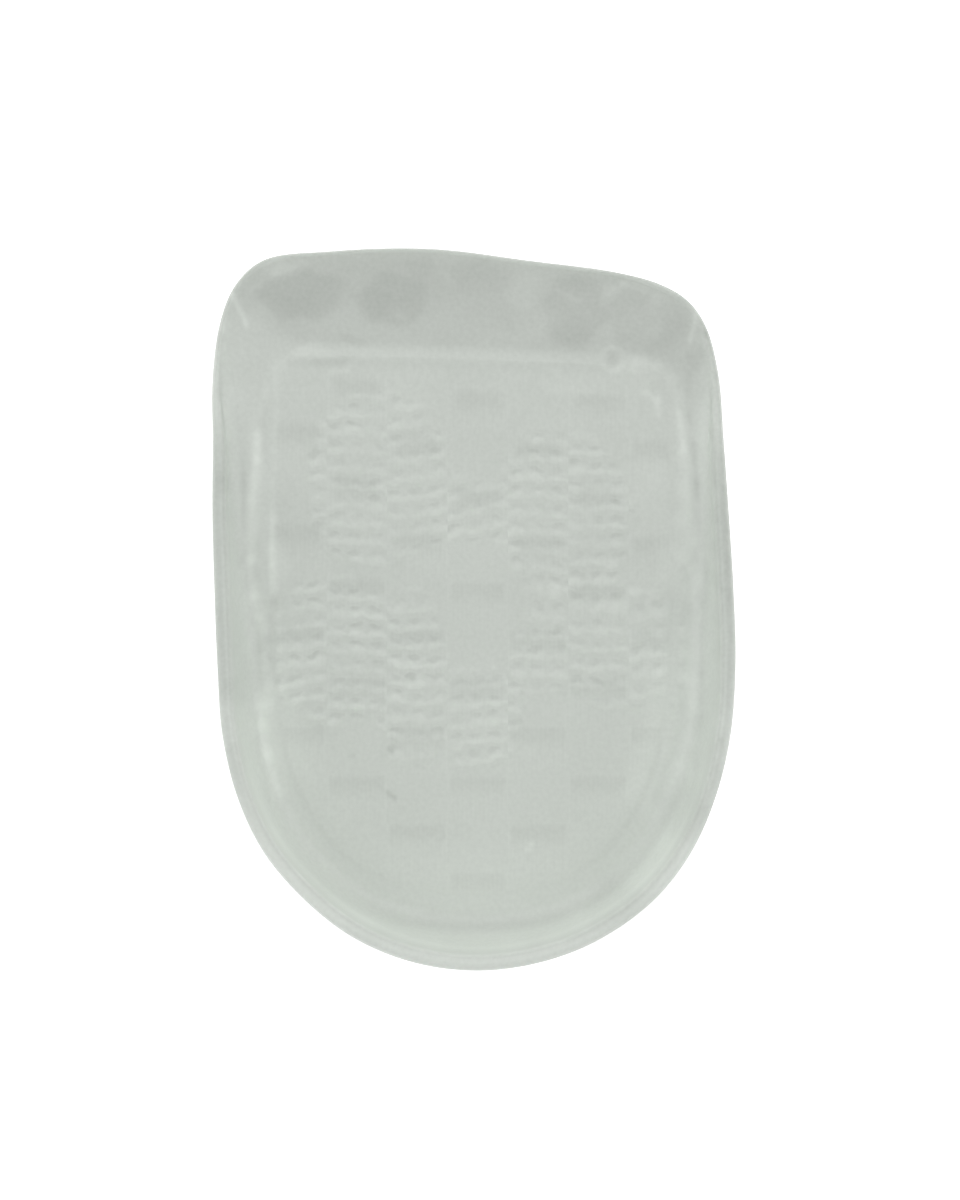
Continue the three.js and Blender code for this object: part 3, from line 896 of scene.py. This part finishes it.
class Value:
    """A shader socket whose arithmetic adds the Math nodes."""

    def __init__(self, nodes, socket):
        self.nodes = nodes
        self.socket = socket

    def math(self, operation, *others):
        inputs = dict(enumerate((self, *others)))
        return self.nodes.add("ShaderNodeMath", {"operation": operation}, inputs)

    def __add__(self, other):
        return self.math("ADD", other)

    def __radd__(self, other):
        return self.math("ADD", other)

    def __sub__(self, other):
        return self.math("SUBTRACT", other)

    def __rsub__(self, other):
        return self.nodes.add("ShaderNodeMath", {"operation": "SUBTRACT"}, {0: other, 1: self})

    def __mul__(self, other):
        return self.math("MULTIPLY", other)

    def __rmul__(self, other):
        return self.math("MULTIPLY", other)

    def __truediv__(self, other):
        return self.math("DIVIDE", other)

    def floor(self):
        return self.math("FLOOR")

    def fraction(self):
        return self.math("FRACT")

    def size(self):
        return self.math("ABSOLUTE")

    def sine(self):
        return self.math("SINE")

    def smooth(self, start, end):
        """Smooth step from 0 at start to 1 at end."""
        settings = {"interpolation_type": "SMOOTHSTEP"}
        inputs = {"Value": self, "From Min": start, "From Max": end}
        return self.nodes.add("ShaderNodeMapRange", settings, inputs)


class Nodes:
    """The node tree of one material."""

    def __init__(self, name):
        self.material = bpy.data.materials.new(name)
        self.material.use_nodes = True
        self.tree = self.material.node_tree
        self.shader = self.tree.nodes["Principled BSDF"]

    def add(self, kind, settings=None, inputs=None, output=0):
        node = self.tree.nodes.new(kind)
        for setting, value in (settings or {}).items():
            setattr(node, setting, value)
        self.fill(node, inputs or {})
        return Value(self, node.outputs[output])

    def fill(self, node, inputs):
        for key, value in inputs.items():
            if isinstance(value, Value):
                self.tree.links.new(value.socket, node.inputs[key])
            else:
                node.inputs[key].default_value = value

    def place(self):
        """The point on the piece, and its x and y in millimetres."""
        point = self.add("ShaderNodeTexCoord", output="Object")
        split = self.tree.nodes.new("ShaderNodeSeparateXYZ")
        self.tree.links.new(point.socket, split.inputs[0])
        return point, *(Value(self, split.outputs[axis]) / MM for axis in range(2))

    def noise(self, point, scale, detail):
        inputs = {"Vector": point, "Scale": scale, "Detail": detail}
        return self.add("ShaderNodeTexNoise", {}, inputs, output="Fac")

    def attribute(self, name):
        return self.add("ShaderNodeAttribute", {"attribute_name": name}, output="Fac")


def linear(red, green, blue):
    """Scene colour of a screen colour given in levels from 0 to 255."""
    return tuple(((level / 255 + 0.055) / 1.055) ** 2.4 for level in (red, green, blue)) + (1.0,)


GEL_DARK = linear(*GEL_DARK_LEVELS)
GEL_PALE = linear(*GEL_PALE_LEVELS)


def weave_tone(x, y, bend, past_tread):
    """Tone of the tread as it shows through the gel: a dark bar of painted shade where each pad ends,
    pale lines of painted highlight between the strips, and fine stripes along them. All places are in
    millimetres."""
    across = PAD_ACROSS / MM
    along = 2 * PAD_ALONG / MM
    place = (x - PAD_SHIFT_ACROSS / MM) / across + 0.5
    strip = place.floor()
    side = (place - strip) * across
    odd = (strip / 2).fraction()
    turn = ((y - bend - BAR_PHASE / MM) / along + odd).fraction() * along
    soft = y.smooth(*BAR_SOFT_FORWARD) * BAR_SOFT
    near, far = BAR_SIDE
    begin, full = BAR_START
    bar = turn.smooth(along - begin - soft, along - full)
    bar = bar * (1 - turn.smooth(along - BAR_STOP - soft, along))
    bar = bar * side.smooth(near, soft + far) * (1 - side.smooth(across - far - soft, across - near))
    between = side.smooth(near, far) * (1 - side.smooth(across - far, across - near))
    stripe = (x * STRIPE_TURNS).sine()
    half_start, half_end = OVER_SHARE
    over = turn.smooth(along * half_start, along * half_end)
    tone = bar * (soft * -BAR_SHADE_PER_SOFT - BAR_SHADE)
    tone = tone + ((1 - between) * LINE_GLOW + stripe * STRIPE_TONE + OVER_TONE) * over
    return tone * (1 - past_tread.smooth(*WEAVE_END))


def nub_tone(nodes, point, x, y):
    """Tone of the nubs: a wide pale streak of painted highlight on each and a dark spot of painted shade
    behind it, both uneven. The unevenness is a fine noise that shifts the pattern and changes its
    strength."""
    noise = nodes.noise(point, NUB_NOISE_SCALE, NUB_NOISE_DETAIL)
    strength = nodes.noise(point, NUB_STRENGTH_SCALE, NUB_NOISE_DETAIL)
    across = (x - PAD_SHIFT_ACROSS / MM) / (PAD_ACROSS / MM) + 0.5
    half = (across.floor() / 2).fraction()
    place = (y - nodes.attribute("nub_wave")) / (NUB_ROW / MM)
    row = (place + half + (noise - 0.5) * NUB_SHIFT_ALONG).fraction()
    nub = (across * NUBS_PER_STRIP + (strength - 0.5) * NUB_SHIFT_ACROSS).fraction() - 0.5
    past_spot = row - SPOT_ROW
    past_streak = row - STREAK_ROW
    spot = nub * nub * SPOT_ACROSS + past_spot * past_spot * SPOT_ALONG
    spot = spot.smooth(0.0, SPOT_END)
    streak = nub * nub * STREAK_ACROSS + past_streak * past_streak * STREAK_ALONG
    streak = streak.smooth(0.0, STREAK_END)
    uneven = strength.smooth(*NUB_UNEVEN) * NUB_UNEVEN_SPAN + NUB_UNEVEN_LOW
    tone = (1 - streak) * STREAK_GLOW - (1 - spot) * SPOT_SHADE
    return tone * uneven * nodes.attribute("nub_field")


def bubble_tone(x, y):
    """Tone of the trapped bubble: painted shade in the middle, with a painted glint on its far and near
    sides.
    """
    bubble_x, bubble_y, radius = BUBBLE
    out_x = x - bubble_x
    out_y = y - bubble_y
    out = (out_x * out_x + out_y * out_y).math("SQRT") / radius
    ring = out.smooth(*BUBBLE_RING_START) * (1 - out.smooth(*BUBBLE_RING_END))
    return (ring * (out_y / radius).size() - (1 - out.smooth(*BUBBLE_MIDDLE))) * BUBBLE_TONE


def gel_material(name, upper_side):
    """Milky gel with a slight cloudiness and a fine grain. On the cup, the tone of the upper side, the
    tread seen through the gel, the nubs and the bubble, with their painted light and shade, are added."""
    nodes = Nodes(name)
    point, x, y = nodes.place()
    cloud = nodes.noise(point, CLOUD_SCALE, CLOUD_DETAIL)
    grain = nodes.noise(point, GRAIN_SCALE, GRAIN_DETAIL)
    tone = (cloud - 0.5) * CLOUD_TONE + (grain - 0.5) * GRAIN_TONE
    if upper_side:
        past_tread = nodes.attribute("past_tread")
        tone = tone + weave_tone(x, y, nodes.attribute("weave_bend"), past_tread)
        edge_line = 1 - past_tread.size().smooth(*EDGE_LINE)
        tone = tone + nodes.attribute("tone") + edge_line * nodes.attribute("edge_tone")
        tone = tone + bubble_tone(x, y) + nub_tone(nodes, point, x, y)
    share = tone / LEVELS_ACROSS + MIDDLE_TONE
    ends = {"Factor": share, "A": GEL_DARK, "B": GEL_PALE}
    colour = nodes.add("ShaderNodeMix", {"data_type": "RGBA"}, ends, output="Result")
    nodes.fill(nodes.shader, {"Base Color": colour, **GEL_LOOK})
    return nodes.material


cup.data.materials.append(gel_material("gel_over_tread", True))
pads.data.materials.append(gel_material("gel", False))


def add_floor():
    """A plain square floor under the cup."""
    reach = FLOOR_REACH
    mesh = bpy.data.meshes.new("floor")
    corners = [(-reach, -reach, 0), (reach, -reach, 0), (reach, reach, 0), (-reach, reach, 0)]
    mesh.from_pydata(corners, [], [(0, 1, 2, 3)])
    floor = bpy.data.objects.new("floor", mesh)
    bpy.context.scene.collection.objects.link(floor)
    nodes = Nodes("floor")
    nodes.fill(nodes.shader, FLOOR_LOOK)
    mesh.materials.append(nodes.material)


def area_light(name, place, size, power):
    """A softbox that faces the cup."""
    light = bpy.data.lights.new(name, "AREA")
    light.shape = "RECTANGLE"
    light.size, light.size_y = size
    light.energy = power
    lamp = bpy.data.objects.new(name, light)
    bpy.context.scene.collection.objects.link(lamp)
    lamp.location = place
    lamp.rotation_euler = (-Vector(place)).to_track_quat("-Z", "Y").to_euler()


def add_world():
    """An even white surrounding light."""
    world = bpy.data.worlds.new("studio")
    world.use_nodes = True
    background = world.node_tree.nodes["Background"]
    background.inputs["Color"].default_value = (1, 1, 1, 1)
    background.inputs["Strength"].default_value = WORLD_STRENGTH
    bpy.context.scene.world = world


def add_camera():
    """A camera that looks straight down. Its lens gives the photograph's pixels their size at the
    level where they are counted."""
    data = bpy.data.cameras.new("camera")
    data.sensor_fit = "VERTICAL"
    data.sensor_height = SENSOR_HEIGHT
    data.lens = SENSOR_HEIGHT * (CAMERA_HEIGHT - PX_LEVEL) / (PHOTO_HEIGHT_PX * PX)
    camera = bpy.data.objects.new("camera", data)
    bpy.context.scene.collection.objects.link(camera)
    camera.location = (CAMERA_ACROSS, CAMERA_ALONG, CAMERA_HEIGHT)
    bpy.context.scene.camera = camera


add_floor()
for light_row in LIGHTS:
    area_light(*light_row)
add_world()
add_camera()
bpy.context.scene.view_settings.view_transform = "Standard"
